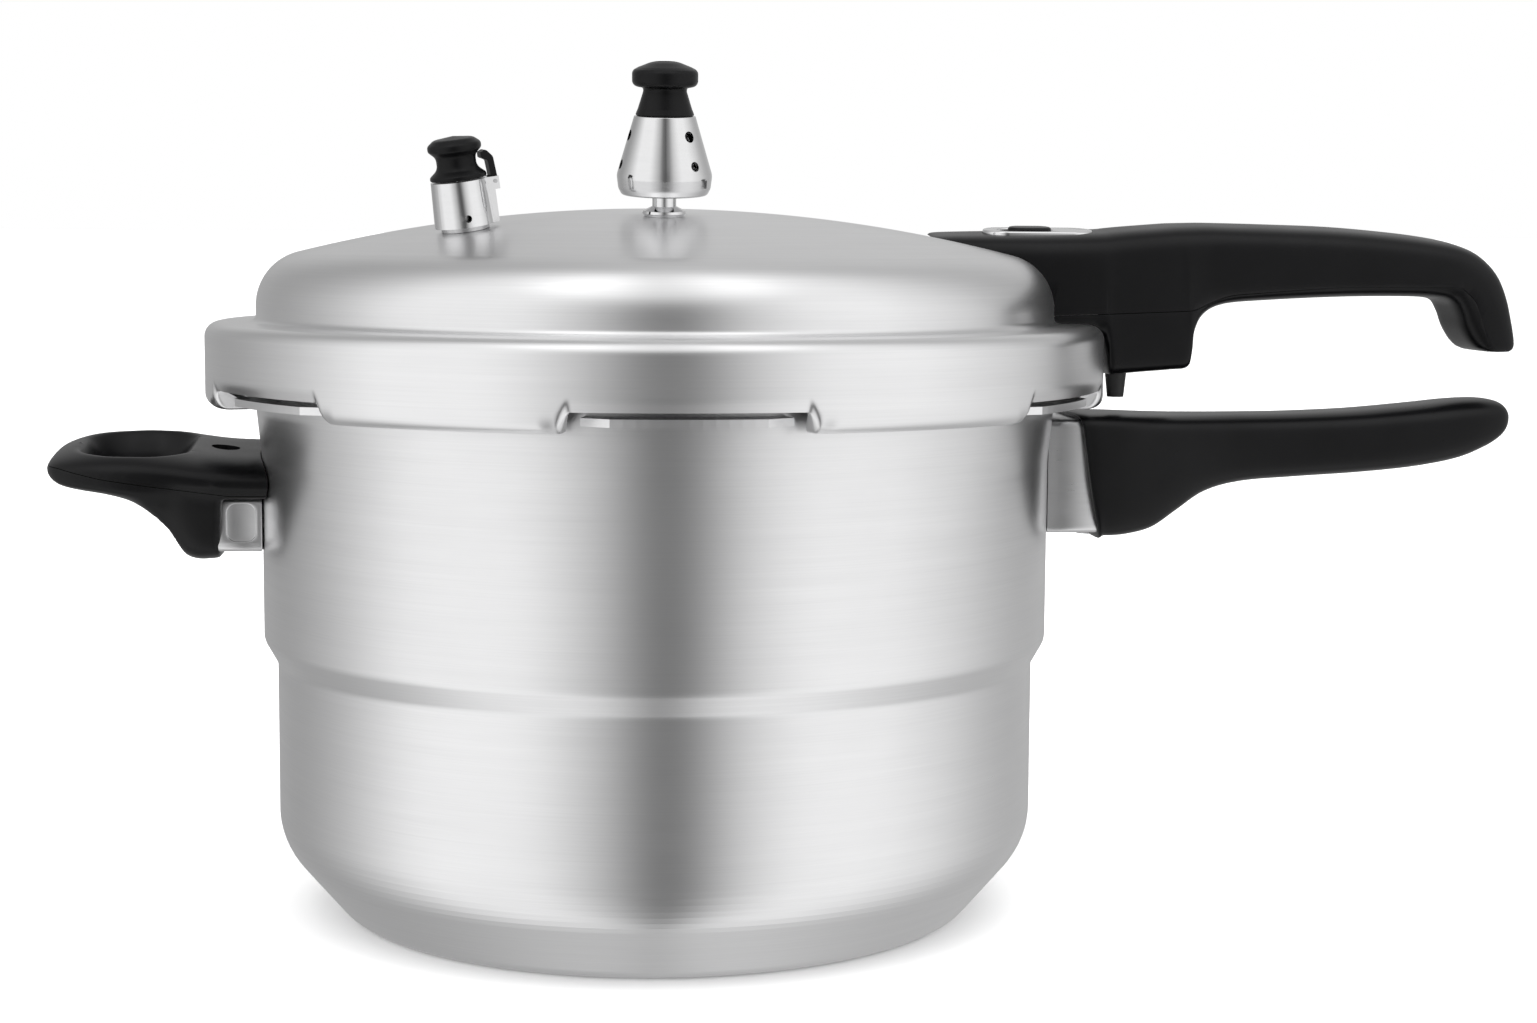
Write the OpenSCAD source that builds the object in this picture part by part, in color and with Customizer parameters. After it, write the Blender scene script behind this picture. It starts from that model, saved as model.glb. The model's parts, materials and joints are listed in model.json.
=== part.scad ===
// Stovetop pressure cooker: pressed aluminium pot, bayonet lid, valves and moulded handles.
// Origin: centre of the pot's flat underside.  +Z up, long handles along +X, helper handle along -X.
// The lid sits at the angle at which it drops on; turning it 30 degrees clockwise locks it.

/* [Pot] */
// Outer radius of the lower wall
pot_r = 121.2; // [119:0.1:122]
// Height of the rim above the underside
pot_h = 176.6; // [174:0.1:180]
// Sheet thickness of the pot
wall = 2.6; // [2:0.1:3]
// Height of the step where the wall widens
step_z = 81; // [72:1:88]

/* [Lid] */
// Outer radius of the lid's skirt
lid_r = 142.5; // [142:0.1:144]
// Sheet thickness of the lid
lid_t = 1.7; // [1.4:0.1:1.8]
// Rise of the crown above the pot's rim
crown_rise = 47.5; // [44:0.5:52]
// Radius of the spherical crown
crown_r = 461; // [430:1:500]
// Radius of the upright wall at the foot of the dome
foot_r = 126.7; // [126:0.1:128]

/* [Bayonet] */
// Number of lugs, and of claws
lug_count = 6; // [6:1:6]
// Thickness of a lug
lug_t = 2.3; // [2:0.1:2.6]
// Angle that a lug takes up at its root
lug_angle = 25.3; // [22:0.1:27]
// Angle of each cut-out in the lid's skirt
cutout_angle = 29; // [28:0.1:30]

/* [Handles] */
// Width of the long handles
grip_w = 32; // [28:1:36]
// Width of the helper handle at the pot
helper_w = 66; // [60:1:72]
// Width of the sheet brackets that carry the pot's handles
bracket_w = 38; // [34:1:40]

/* [Valves] */
// Distance of the vent pipe from the lid's centre
vent_offset = 48; // [40:1:56]
// Largest radius of the regulator weight
weight_r = 14.4; // [13:0.1:16]
// Radius of the relief valve's sleeve at its foot
sleeve_r = 9; // [8.6:0.1:9.6]

/* [Hidden] */
$fn = 96;

sheet = 1.6;                          // bracket sheet
gap = 0.3;                            // running clearance
fit = 0.06;                           // clearance between fixed parts
metal = "silver";
black = [0.09, 0.09, 0.1];
rubber = [0.25, 0.25, 0.27];

// pot
upper_r = pot_r + 4.2;                // wall above the step
neck_r = pot_r + 5.7;                 // flare below the rim
lip_r = neck_r + 3.3;                 // rolled lip at the rim
lug_r = neck_r + 11.8;                // outer edge of the lugs
lug_top = pot_h - 10.1;
lug_tip_angle = lug_angle * 0.71;
lug_corner_r = lug_r * 0.967;         // where the chamfers at a lug's ends start
lug_pitch = 360 / lug_count;

// lid
claw_r = lip_r + 0.9;
skirt_z = lug_top - lug_t - gap - lid_t;
cutout_z = lug_top + 0.9;
ledge_z = pot_h + 11.8;
crown_z = pot_h + crown_rise;
shoulder_r = 17.5;
crown_c = crown_z - crown_r;
shoulder_c = crown_c + sqrt(pow(crown_r - shoulder_r, 2) - pow(foot_r - shoulder_r, 2));

// lid handle
handle_w = grip_w - 2;
block_x = lid_r + 1.5;                // face of the block beside the skirt
top_z = crown_z - 6.5;                // top of the handle over the lid
bar_z = top_z - 5;                    // underside of the lock bar
lock_travel = 3;

// pot and helper handles
pot_bracket_z = [121, 157.6];
pot_rivet_z = 138;                    // height of the rivets in the long handle's bracket
helper_bracket_z = [116.5, 134.2];
rivet_y = 11;
rivet_r = 3;
handle_screw_r = 2.3;
screw_head_r = 4.2;
pot_screw_x = 142;
helper_screw = [-137, 144.4];         // x, and height of the head's seat
pot_grip_z = 158.5;

// ---- helpers ----

// Points of an arc about c, from angle a to angle b
function arc(c, r, a, b, n = 12) = [for (i = [0:n]) c + r * [cos(a + (b - a) * i / n), sin(a + (b - a) * i / n)]];

function xy(p) = [p[0], p[1]];
function unit(v) = v / norm(v);
function mid(v) = (v[0] + v[1]) / 2;
function reversed(v) = [for (i = [len(v) - 1:-1:0]) v[i]];

// One corner [x, y, r] between its neighbours, rounded with radius r, or less where its sides are short
function corner(a, p, b, n) =
    let (u = xy(a) - xy(p), v = xy(b) - xy(p), half = acos(max(-1, min(1, unit(u) * unit(v)))) / 2,
         r = min(p[2], 0.48 * min(norm(u), norm(v)) * tan(half)))
    r < 0.02 || half > 89.5 ? [xy(p)] :
    let (c = xy(p) + unit(unit(u) + unit(v)) * r / sin(half),
         s = xy(p) + unit(u) * r / tan(half) - c,
         e = xy(p) + unit(v) * r / tan(half) - c,
         a0 = atan2(s[1], s[0]),
         turn = atan2(s[0] * e[1] - s[1] * e[0], s * e))
    arc(c, r, a0, a0 + turn, n);

// Open path through [x, y, r] corners
function path(p, n = 8) = [
    for (i = [0:len(p) - 1])
        each (i == 0 || i == len(p) - 1 ? [xy(p[i])] : corner(p[i - 1], p[i], p[i + 1], n))
];

// Closed outline through [x, y, r] corners
function outline(p, n = 8) = let (m = len(p)) [
    for (i = [0:m - 1]) each corner(p[(i + m - 1) % m], p[i], p[(i + 1) % m], n)
];

// Height of the crown's surface at distance d from the lid's axis
function crown_at(d) = crown_c + sqrt(crown_r * crown_r - d * d);

// Places its children on the crown, square to the surface
module on_crown(d, azimuth) {
    rotate([0, 0, azimuth]) translate([d, 0, crown_at(d)]) rotate([0, asin(d / crown_r), 0]) children();
}

// A side profile (x, z) given width w along Y
module side_extrude(w) {
    translate([0, w / 2, 0]) rotate([90, 0, 0]) linear_extrude(w) children();
}

// A sector with radii r0..r1 and an opening angle, centred on an azimuth
module sector(r0, r1, angle, azimuth, n = 12) {
    polygon(concat(
        arc([0, 0], r1, azimuth - angle / 2, azimuth + angle / 2, n),
        arc([0, 0], r0, azimuth + angle / 2, azimuth - angle / 2, n)
    ));
}

module tube(r_out, r_in, z0, z1) {
    translate([0, 0, z0]) difference() {
        cylinder(r = r_out, h = z1 - z0);
        translate([0, 0, -1]) cylinder(r = r_in, h = z1 - z0 + 2);
    }
}

// Round wire wound as a compression spring, drawn as stacked rings joined by one thin rail
module spring(r, wire, z0, z1, coils) {
    for (i = [0:coils]) translate([0, 0, z0 + wire + (z1 - z0 - 2 * wire) * i / coils])
        rotate_extrude() translate([r, 0]) circle(r = wire, $fn = 16);
    translate([r, 0, z0 + wire]) cylinder(r = wire * 0.8, h = z1 - z0 - 2 * wire, $fn = 16);
}

// ---- pot ----

// Outline of the pot's wall from the centre of the base up to top, inset by t
function pot_path(t, top) = [
    [0, t, 0],
    [pot_r - 20.9 - t * 0.45, t, 8.6 - t],
    [pot_r - t, 24.7 + t * 0.35, 24 - t],
    [pot_r - t, step_z + t * 0.3, 4 + t],
    [upper_r - t, step_z + 7.5 + t * 0.3, 5 - t],
    [upper_r - t, pot_h - 31, 30],
    [neck_r - t, pot_h - 16, 20],
    [neck_r - t, top, 1.2]
];

// Solid inside the pot's outer surface, up to the flare, grown by t
module pot_envelope(t) {
    rotate_extrude() polygon(concat(path(pot_path(-t, pot_h - 12)), [[0, pot_h - 12]]));
}

module pot_body() {
    color(metal) difference() {
        union() {
            rotate_extrude() polygon(concat(
                path(concat(pot_path(0, pot_h - wall), [[lip_r, pot_h - wall, 0]])),
                [[lip_r, pot_h - 0.6], [lip_r - 0.6, pot_h]],
                reversed(path(pot_path(wall, pot_h)))
            ));
            for (i = [0:lug_count - 1]) pot_lug(-90 + i * lug_pitch);
        }
        bracket_rivet_holes(1, pot_rivet_z);
        bracket_rivet_holes(-1, mid(helper_bracket_z));
    }
}

// A lug whose ends are chamfered in plan
module pot_lug(azimuth) {
    root = neck_r - wall / 2;
    tip = [for (s = [-1, 1]) azimuth + s * lug_tip_angle / 2];
    foot = [for (s = [-1, 1]) azimuth + s * lug_angle / 2];
    translate([0, 0, lug_top - lug_t]) linear_extrude(lug_t) polygon(concat(
        arc([0, 0], lug_r, tip[0], tip[1]),
        [lug_corner_r * [cos(foot[1]), sin(foot[1])]],
        arc([0, 0], root, foot[1], foot[0]),
        [lug_corner_r * [cos(foot[0]), sin(foot[0])]]
    ));
}

// Box-shaped sheet bracket between the wall and a handle; s = 1 for +X, -1 for -X
module sheet_bracket(s, z0, z1, x_end, rivet_z) {
    difference() {
        translate([s > 0 ? 0 : -x_end, -bracket_w / 2, z0]) cube([x_end, bracket_w, z1 - z0]);
        pot_envelope(0.02);
        difference() {
            translate([s > 0 ? 0 : -x_end - 1, -bracket_w / 2 + sheet, z0 + sheet])
                cube([x_end + 1, bracket_w - 2 * sheet, z1 - z0 - 2 * sheet]);
            translate([0, 0, z0 - 1]) cylinder(r = upper_r + sheet + 0.4, h = z1 - z0 + 2);
        }
        bracket_rivet_holes(s, rivet_z);
    }
}

module bracket_rivet_holes(s, z) {
    for (y = [-rivet_y, rivet_y]) translate([0, y, z]) rotate([0, s * 90, 0]) cylinder(r = rivet_r, h = upper_r + 10);
}

// Rivets through the pot's wall and the bracket
module bracket_rivets(s, z) {
    for (y = [-rivet_y, rivet_y]) {
        x_in = sqrt(pow(upper_r - wall, 2) - y * y);
        x_out = sqrt(pow(upper_r + sheet + 0.4, 2) - y * y);
        translate([0, y, z]) rotate([0, s * 90, 0]) {
            translate([0, 0, x_in - 1.8]) cylinder(r = rivet_r, h = x_out - x_in + 3.6);
            translate([0, 0, x_in - 2.6]) cylinder(r1 = rivet_r + 1, r2 = rivet_r + 2.4, h = 1.6);
            translate([0, 0, x_out + 0.6]) cylinder(r1 = rivet_r + 2, r2 = rivet_r + 0.6, h = 1.4);
        }
    }
}

module pot_handle_bracket() {
    color(metal) difference() {
        sheet_bracket(1, pot_bracket_z[0], pot_bracket_z[1], pot_screw_x + 5, pot_rivet_z);
        translate([pot_screw_x, 0, 110]) cylinder(r = handle_screw_r + gap, h = 30);
    }
}

module pot_bracket_rivets() {
    color(metal) bracket_rivets(1, pot_rivet_z);
}

// Side view of the pot's long handle
pot_handle_side = [
    [131.5, 159, 1], [180, pot_grip_z, 120], [230, 159.8, 160], [265, 163, 60], [282.2, 157, 5],
    [275, 148, 14], [250, 140.2, 80], [182, 135.6, 24], [160, 119.6, 16], [141.2, 120.2, 1.5],
    [136, 152, 2], [134.6, 155.3, 1]
];

// A box from x0 to x1 as wide and tall as a bracket's outside, shrunk by t
module bracket_box(x0, x1, z, t) {
    translate([x0, -bracket_w / 2 + t, z[0] + t]) cube([x1 - x0, bracket_w - 2 * t, z[1] - z[0] - 2 * t]);
}

module pot_handle() {
    color(black) difference() {
        union() {
            difference() {
                intersection() {
                    side_extrude(60) polygon(outline(pot_handle_side));
                    translate([0, 0, 100]) linear_extrude(80) polygon(outline([
                        [125, -bracket_w / 2 - 2, 0], [160, -bracket_w / 2 - 2, 40], [190, -grip_w / 2, 60],
                        [288, -grip_w / 2 + 1, 12], [288, grip_w / 2 - 1, 12], [190, grip_w / 2, 60],
                        [160, bracket_w / 2 + 2, 40], [125, bracket_w / 2 + 2, 0]
                    ]));
                }
                bracket_box(100, pot_screw_x + 5 + fit, pot_bracket_z, -fit);
            }
            // tongue inside the bracket
            bracket_box(130.6, pot_screw_x + 8, pot_bracket_z, sheet + fit);
        }
        translate([pot_screw_x, 0, 110]) cylinder(r = handle_screw_r, h = 30);
        translate([pot_screw_x, 0, 110]) cylinder(r = screw_head_r + gap, h = 11);
    }
}

// Pan-head screw with a cross slot; the head's underside is at z = 0 and the thread points to +Z
module pan_screw(r, length, head_r, head_h) {
    difference() {
        union() {
            cylinder(r = r, h = length);
            translate([0, 0, -head_h]) cylinder(r1 = head_r - 0.5, r2 = head_r, h = head_h);
        }
        for (a = [0, 90]) rotate([0, 0, a])
            translate([-head_r * 0.6, -0.4, -head_h - 0.1]) cube([head_r * 1.2, 0.8, head_h * 0.6]);
    }
}

module pot_handle_screw() {
    color(metal) translate([pot_screw_x, 0, pot_bracket_z[0]]) pan_screw(handle_screw_r, 16, screw_head_r, 2);
}

module helper_bracket() {
    color(metal) difference() {
        sheet_bracket(-1, helper_bracket_z[0], helper_bracket_z[1], 143, mid(helper_bracket_z));
        translate([helper_screw[0], 0, 120]) cylinder(r = handle_screw_r + gap, h = 30);
        // pressed hollow in each side
        for (s = [-1, 1]) translate([-132.6, s * bracket_w / 2, 125.2]) rotate([90, 0, 0])
            translate([0, 0, -0.6]) linear_extrude(1.2) polygon(outline([
                [-4, -5, 1.6], [4.5, -5, 1.6], [4.5, 5, 1.6], [-4, 5, 1.6]
            ], 4));
    }
}

module helper_bracket_rivets() {
    color(metal) bracket_rivets(-1, mid(helper_bracket_z));
}

// Side view of the helper handle
helper_side = [
    [-190.8, 142.6, 3.5], [-186, 148, 8], [-166, 151.6, 30], [-144, 148, 40], [-126.4, 147.4, 0],
    [-126.4, 134.3, 0], [-136, 134.3, 0.6], [-138.6, 115.6, 1.4], [-147.5, 113.2, 5], [-160, 131.5, 22],
    [-186, 135.4, 8]
];

module helper_handle() {
    color(black) difference() {
        union() {
            difference() {
                intersection() {
                    side_extrude(90) polygon(outline(helper_side));
                    translate([0, 0, 100]) linear_extrude(70) polygon(outline([
                        [-120, -helper_w / 2, 0], [-150, -helper_w / 2, 30], [-192.4, -helper_w / 2 + 12, 20],
                        [-192.4, helper_w / 2 - 12, 20], [-150, helper_w / 2, 30], [-120, helper_w / 2, 0]
                    ]));
                }
                pot_envelope(0.4);
                // the block under the grip is hardly wider than the bracket
                for (s = [-1, 1]) translate([-170, s * 35 - 15.5, 100]) cube([60, 31, 32.6]);
                bracket_box(-143 - fit, -100, helper_bracket_z, -fit);
            }
            // tongue inside the bracket
            bracket_box(-147, -130.6, helper_bracket_z, sheet + fit);
        }
        // finger opening
        translate([0, 0, 100]) linear_extrude(70) polygon(outline([
            [-179.5, -21, 12], [-150, -24, 9], [-150, 24, 9], [-179.5, 21, 12]
        ]));
        translate([helper_screw[0], 0, 120]) cylinder(r = handle_screw_r, h = 40);
        translate([helper_screw[0], 0, helper_screw[1]]) cylinder(r = screw_head_r + gap, h = 20);
    }
}

module helper_handle_screw() {
    color(metal) translate([helper_screw[0], 0, helper_screw[1]]) rotate([180, 0, 0])
        pan_screw(handle_screw_r, 22, screw_head_r, 2);
}

// ---- sealing ring ----

module sealing_ring() {
    top = ledge_z - lid_t - 0.8;
    color(rubber) rotate_extrude() polygon(outline([
        [neck_r - wall - 0.4, pot_h + 0.1, 0.6], [lip_r + 1.6, pot_h + 0.1, 0.8],
        [lip_r + 4.2, pot_h + 2.6, 1], [lid_r - lid_t - 0.5, pot_h + 2.6, 1],
        [lid_r - lid_t - 0.5, top - 3.4, 3], [lid_r - lid_t - 3.5, top, 1.4], [foot_r + 3.4, top, 1],
        [foot_r + 3.4, top - 2.4, 0.4], [foot_r + 9, top - 4.6, 0.5], [foot_r + 3, pot_h + 3.2, 0.6],
        [neck_r - wall - 0.4, pot_h + 2, 0.5]
    ], 5));
}

// ---- lid ----

// Outline of the lid's surface, inset by t
function lid_path(t) = concat(
    arc([0, crown_c], crown_r - t, 90, acos((foot_r - shoulder_r) / (crown_r - shoulder_r)), 16),
    arc([foot_r - shoulder_r, shoulder_c], shoulder_r - t,
        acos((foot_r - shoulder_r) / (crown_r - shoulder_r)), 0, 14),
    path([
        [foot_r - t, shoulder_c - 0.2, 0],
        [foot_r - t, ledge_z - t, 2.4 + t],
        [lid_r - t, ledge_z - 0.4 - t, 5.5 - t],
        [lid_r - t, skirt_z + t, 4 - t],
        [claw_r, skirt_z + t, 0]
    ])
);

relief_at = [80, -139.3];             // distance from the axis, azimuth
vent_at = [vent_offset, -91.3];
float_x = 112.5;
lid_rivets = [[105.5, 9], [105.5, -9]];

module lid_shell() {
    color(metal) difference() {
        rotate_extrude($fn = 180) polygon(concat(lid_path(0), reversed(lid_path(lid_t))));
        for (i = [0:lug_count - 1]) translate([0, 0, skirt_z - 2])
            linear_extrude(cutout_z - skirt_z + 2)
                sector(claw_r - 8, lid_r + 8, cutout_angle, -90 + i * lug_pitch);
        on_crown(vent_at[0], vent_at[1]) translate([0, 0, -8]) cylinder(r = 4.6, h = 16);
        on_crown(relief_at[0], relief_at[1]) translate([0, 0, -8]) cylinder(r = 5, h = 16);
        translate([float_x, 0, 195]) cylinder(r = 4, h = 30);
        for (p = lid_rivets) translate([p[0], p[1], 195]) cylinder(r = 2, h = 30);
    }
}

// ---- lid handle ----

// Solid inside the lid's outer surface, down to the ledge, grown by t
module lid_envelope(t) {
    rotate_extrude() polygon(concat(
        [for (p = lid_path(-t)) if (p[1] > ledge_z - 8) p], [[0, ledge_z - 8]]
    ));
}

// Side view of the whole lid handle, from the nose to the hook
lid_handle_side = [
    [89, top_z - 1.4, 0.4], [141.6, top_z, 200], [172, top_z + 2.6, 200], [215, top_z + 2, 200],
    [247, top_z - 0.6, 60], [270, top_z - 4.6, 16], [278.8, 199, 40], [282, 179.2, 4.5],
    [270.6, 179.2, 2.5], [264.4, 183, 3], [260.4, 197, 4.5], [225, 197, 120], [182, 194, 24],
    [172.3, 188, 10], [172.3, 173.7, 3], [block_x, 171.7, 0.8], [block_x, 186, 0],
    [100, 186, 0], [89, 205, 0]
];

// Line that parts the upper shell from the lower one
parting = [
    [100, 188.9, 0], [172, 192.4, 12], [184, 197.4, 20], [222, 200.4, 100], [261, 200.6, 6],
    [266.4, 196, 8], [273.4, 177, 0]
];

module below_parting() {
    polygon(concat(path(parting), [[268.4, 160], [100, 160]]));
}

// Plan view of the lid handle
module lid_handle_plan(w) {
    translate([0, 0, 150]) linear_extrude(90) polygon(outline([
        [86, -w / 2 + 3, 12], [125, -w / 2 - 1, 40], [180, -w / 2, 100], [288, -w / 2 + 2, 8],
        [288, w / 2 - 2, 8], [180, w / 2, 100], [125, w / 2 + 1, 40], [86, w / 2 - 3, 12]
    ]));
}

handle_screw_x = [158, 236];
handle_screw_seat = [178, 199.4];     // height of each head's seat
handle_screw_length = [26, 11];
lid_screw_r = 1.9;
lid_screw_head_r = 3.8;

module lid_handle_upper() {
    color(black) difference() {
        intersection() {
            side_extrude(60) difference() {
                polygon(outline(lid_handle_side));
                below_parting();
            }
            lid_handle_plan(handle_w);
        }
        lid_envelope(0.05);
        // room for the bracket and the lock
        translate([100.6, -12.4, 180]) cube([block_x - 102.6, 24.8, bar_z + 1.8 - 180]);
        translate([float_x, 0, 200]) cylinder(r = 3.4, h = top_z - 2 - 200);
        translate([0, 0, 200]) linear_extrude(30) lock_slot(0);
        translate([0, 0, top_z - 1.6]) linear_extrude(10) oval(123.6, 36.3, 15.3);
        for (x = handle_screw_x) translate([x, 0, 180]) cylinder(r = lid_screw_r, h = 31);
        // slot that holds the end of the leaf
        translate([block_x - 4, -3 - fit, bar_z - 2.4 - fit]) cube([5 + fit, 6 + 2 * fit, 0.6 + 2 * fit]);
    }
}

module lid_handle_lower() {
    color(black) difference() {
        intersection() {
            side_extrude(60) intersection() {
                polygon(outline(lid_handle_side));
                below_parting();
            }
            lid_handle_plan(handle_w - 1);
        }
        lid_envelope(0.05);
        translate([100.6, -12.4, 180]) cube([block_x - 102.6, 24.8, 30]);
        for (i = [0, 1]) translate([handle_screw_x[i], 0, 160]) {
            cylinder(r = lid_screw_r + gap, h = 60);
            cylinder(r = lid_screw_head_r + gap, h = handle_screw_seat[i] - 160);
        }
        // socket of the foot
        translate([150.4, 0, 160]) cylinder(r = 2.2, h = 16);
    }
}

module lid_handle_screws() {
    color(metal) for (i = [0, 1]) translate([handle_screw_x[i], 0, handle_screw_seat[i]])
        pan_screw(lid_screw_r, handle_screw_length[i], lid_screw_head_r, 1.6);
}

// Tapered rubber foot that keeps the lid level when it is laid down
module handle_foot() {
    color(rubber) translate([150.4, 0, 0]) {
        translate([0, 0, 163.9]) cylinder(r1 = 2.7, r2 = 3.5, h = 7.9);
        translate([0, 0, 171.4]) cylinder(r = 2.1, h = 4.2);
    }
}

// Oval of a given length and width about x, along X
module oval(x, length, width) {
    for (s = [-1, 1]) translate([x + s * (length - width) / 2, 0]) circle(r = width / 2);
    translate([x - (length - width) / 2, -width / 2]) square([length - width, width]);
}

button_x = 120.9;
button_l = 14.2;
button_w = 8.4;

// Slot in which the button slides, grown by t
module lock_slot(t) {
    oval(button_x - lock_travel / 2, button_l + lock_travel + 1.2 + 2 * t, button_w + 1.2 + 2 * t);
}

module handle_escutcheon() {
    color(metal) translate([0, 0, top_z - 1.6]) linear_extrude(2.2) difference() {
        oval(123.6, 36, 15);
        lock_slot(0);
    }
}

module lock_button() {
    color(black) {
        translate([0, 0, top_z - 1.2]) linear_extrude(2) oval(button_x, button_l, button_w);
        translate([0, 0, top_z + 0.8]) linear_extrude(0.7) oval(button_x, button_l - 1.6, button_w - 1.6);
        translate([button_x - 1.7, -2.2, bar_z + 1.4]) cube([6, 4.4, top_z - 1.2 - bar_z - 1.4]);
    }
}

// Bar under the button; its fork straddles the float pin
module lock_bar() {
    color(metal) translate([0, 0, bar_z]) difference() {
        translate([111.8, -6, 0]) cube([24.6, 12, 1.4]);
        translate([100, -3.3, -1]) cube([19.2, 6.6, 4]);
    }
}

// Leaf that clicks the bar into its two places
module lock_leaf() {
    color(metal) translate([0, 0, bar_z - 2.4]) {
        translate([129, -3, 0]) cube([block_x - 128, 6, 0.6]);
        translate([132, -3, 0.6]) rotate([-90, 0, 0]) difference() {
            cylinder(r = 1.3, h = 6);
            translate([-2, 0, -1]) cube([4, 4, 8]);
        }
    }
}

// Steel channel riveted to the lid; the handle slides over its cheeks
module lid_handle_bracket() {
    plate = 1.2;
    color(metal) difference() {
        union() {
            for (s = [-1, 1]) translate([103, s * (12 - plate / 2) - plate / 2, 186])
                cube([block_x - 105.6, plate, bar_z + 0.9 - 186]);
            intersection() {
                translate([103, -12, 200]) cube([8, 24, 20]);
                lid_envelope(plate);
            }
        }
        lid_envelope(0.02);
        translate([float_x, 0, 190]) cylinder(r = 5.9, h = 40);
        for (p = lid_rivets) {
            translate([p[0], p[1], 195]) cylinder(r = 2, h = 30);
            // level seat for the rivet's head
            translate([p[0], p[1], crown_at(norm(p)) + plate + fit]) cylinder(r = 3.2, h = 6);
        }
    }
}

module lid_bracket_rivets() {
    color(metal) for (p = lid_rivets) {
        z = crown_at(norm(p));
        translate([p[0], p[1], z]) {
            translate([0, 0, -lid_t - 1.9]) cylinder(r = 2, h = lid_t + 3.2);
            translate([0, 0, -lid_t - 2.4]) cylinder(r1 = 2.4, r2 = 3.4, h = 1.2);
            translate([0, 0, 1.3]) cylinder(r1 = 3, r2 = 2.2, h = 0.9);
        }
    }
}

// Pin that pressure pushes up through the lid
module float_pin() {
    color(metal) translate([float_x, 0, bar_z - 0.4]) {
        translate([0, 0, -13]) cylinder(r = 2.2, h = 12);
        translate([0, 0, -1.1]) cylinder(r1 = 2.7, r2 = 2.4, h = 1.1);
        translate([0, 0, -14.2]) cylinder(r = 4, h = 1.2);
    }
}

module float_bush() {
    z = bar_z - 0.4;
    color(metal) translate([float_x, 0, 0]) {
        tube(3.95, 2.5, z - 7, z - 1.5);
        tube(5.6, 2.5, z - 7.6, z - 6.2);
    }
}

module float_seal() {
    color(rubber) translate([float_x, 0, 0]) tube(3.8, 2.2, bar_z - 13.4, bar_z - 11.4);
}

// ---- vent pipe and regulator ----

stem_r = 3.6;
stem_top = 17;

module at_vent() {
    on_crown(vent_at[0], vent_at[1]) children();
}

module vent_pipe() {
    color(metal) at_vent() rotate_extrude() polygon([
        [1.2, -11], [4.4, -11], [4.4, 0.05], [6, 0.05], [6.6, 0.9], [6.4, 1.7], [4.6, 2.5], [stem_r, 3],
        [stem_r, stem_top - 3], [2.2, stem_top], [1.2, stem_top]
    ]);
}

module vent_nut() {
    color(metal) at_vent() difference() {
        translate([0, 0, -6.6]) cylinder(r = 8, h = 4.8, $fn = 6);
        translate([0, 0, -8]) cylinder(r = 4.4, h = 8);
    }
}

// Slotted cap that keeps food out of the vent
module vent_filter() {
    color(metal) at_vent() difference() {
        union() {
            tube(6.2, 4.45, -15, -6.7);
            translate([0, 0, -16]) cylinder(r1 = 4.6, r2 = 6.2, h = 1.2);
        }
        for (a = [0:60:300]) rotate([0, 0, a]) translate([3, -0.6, -14.4]) cube([5, 1.2, 5.4]);
    }
}

module regulator_needle() {
    color(metal) at_vent() rotate_extrude() polygon([
        [0, stem_top - 2.2], [0.9, stem_top - 0.6], [0.9, stem_top + 0.3], [3, stem_top + 0.3],
        [3, stem_top + 8], [0, stem_top + 8]
    ]);
}

weight_z = [6.4, 30];
weight_holes = [[22.4, 1.7], [13.3, 1.5]];  // height on the axis, radius
hole_turn = 40.3;                     // places one column of holes at the front right

// Cone of the weight inset by t
function weight_path(t) = path([
    [0, weight_z[0] + t, 0], [weight_r - 1.6 - t, weight_z[0] + t, 1.2],
    [weight_r - 0.5 - t * 1.2, weight_z[0] + 2 + t, 3], [weight_r - t, weight_z[0] + 6 + t, 5],
    [weight_r - 5.2 - t, weight_z[1] - t, 0.3], [0, weight_z[1] - t, 0]
]);

module regulator_weight() {
    color(metal) at_vent() difference() {
        union() {
            difference() {
                rotate_extrude() polygon(weight_path(0));
                rotate_extrude() polygon(weight_path(1.6));
            }
            translate([0, 0, stem_top + 2]) cylinder(r = 5.6, h = weight_z[1] - stem_top - 3);
        }
        translate([0, 0, 5]) cylinder(r = stem_r + 0.5, h = 10);
        translate([0, 0, stem_top]) cylinder(r = 3.35, h = 8.4);
        translate([0, 0, 20]) cylinder(r = 1.5, h = 20);
        for (a = [0:120:240], hole = weight_holes) rotate([0, 0, hole_turn + a]) translate([0, 0, hole[0]])
            rotate([0, 80, 0]) translate([0, 0, 6]) cylinder(r = hole[1], h = 14);
    }
}

module regulator_knob() {
    color(black) at_vent() difference() {
        rotate_extrude($fn = 64) polygon(path([
            [0, 30.1, 0], [8.95, 30.1, 0.4], [8.1, 32.2, 2], [6.5, 37.4, 3], [6.7, 38.3, 0.6], [9.9, 38.9, 1.9],
            [9.9, 43.4, 1.9], [8, 44.4, 1], [4, 46, 10], [0, 46.4, 0]
        ], 6));
        translate([0, 0, 30]) cylinder(r = 1.5, h = 30);
        translate([0, 0, 43.6]) cylinder(r = 2.9, h = 5);
    }
}

module regulator_screw() {
    color(metal) at_vent() translate([0, 0, 43.6]) rotate([180, 0, 0]) pan_screw(1.5, 15.8, 2.7, 1.8);
}

// ---- relief valve ----

sleeve_z = [1.4, 14.9];
clip_turn = 153.6;                    // the clip stands at the back right of the sleeve

module at_relief() {
    on_crown(relief_at[0], relief_at[1]) children();
}

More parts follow.
